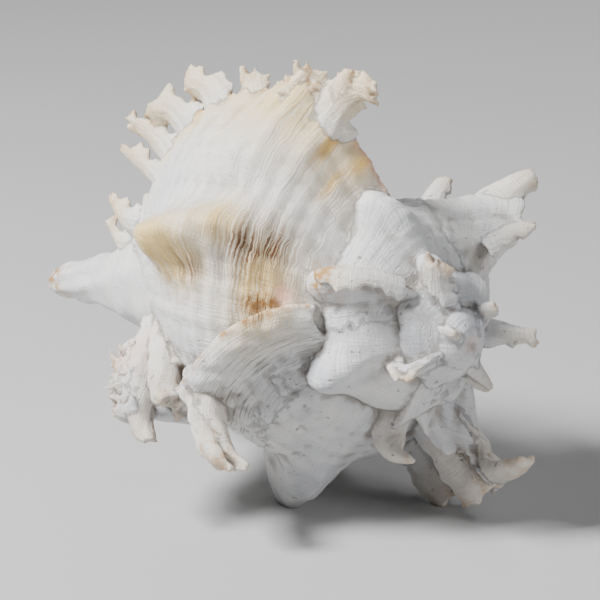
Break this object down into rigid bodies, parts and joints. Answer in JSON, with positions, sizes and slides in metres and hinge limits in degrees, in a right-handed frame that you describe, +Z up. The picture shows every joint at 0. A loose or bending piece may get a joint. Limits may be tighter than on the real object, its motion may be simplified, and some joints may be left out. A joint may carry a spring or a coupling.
{
  "type": "ramose murex shell",
  "caption": "Large spiny sea snail shell with flaring frilled varices, knobbed whorls, an open aperture and a tapering siphonal canal, lying on its spines.",
  "frame": {"origin": "centre of the bounding box on the surface that the shell rests on", "axes": "+Z up as the shell lies; -Y towards the spire as the picture sees it; the canal points to -X and +Y"},
  "size_m": [0.164, 0.1785, 0.1462],
  "materials": {
    "shell": "chalky matte outside with a soft porcelain sheen in the aperture"
  },
  "bodies": {
    "root": {"shell": "shell"}
  },
  "joints": []
}
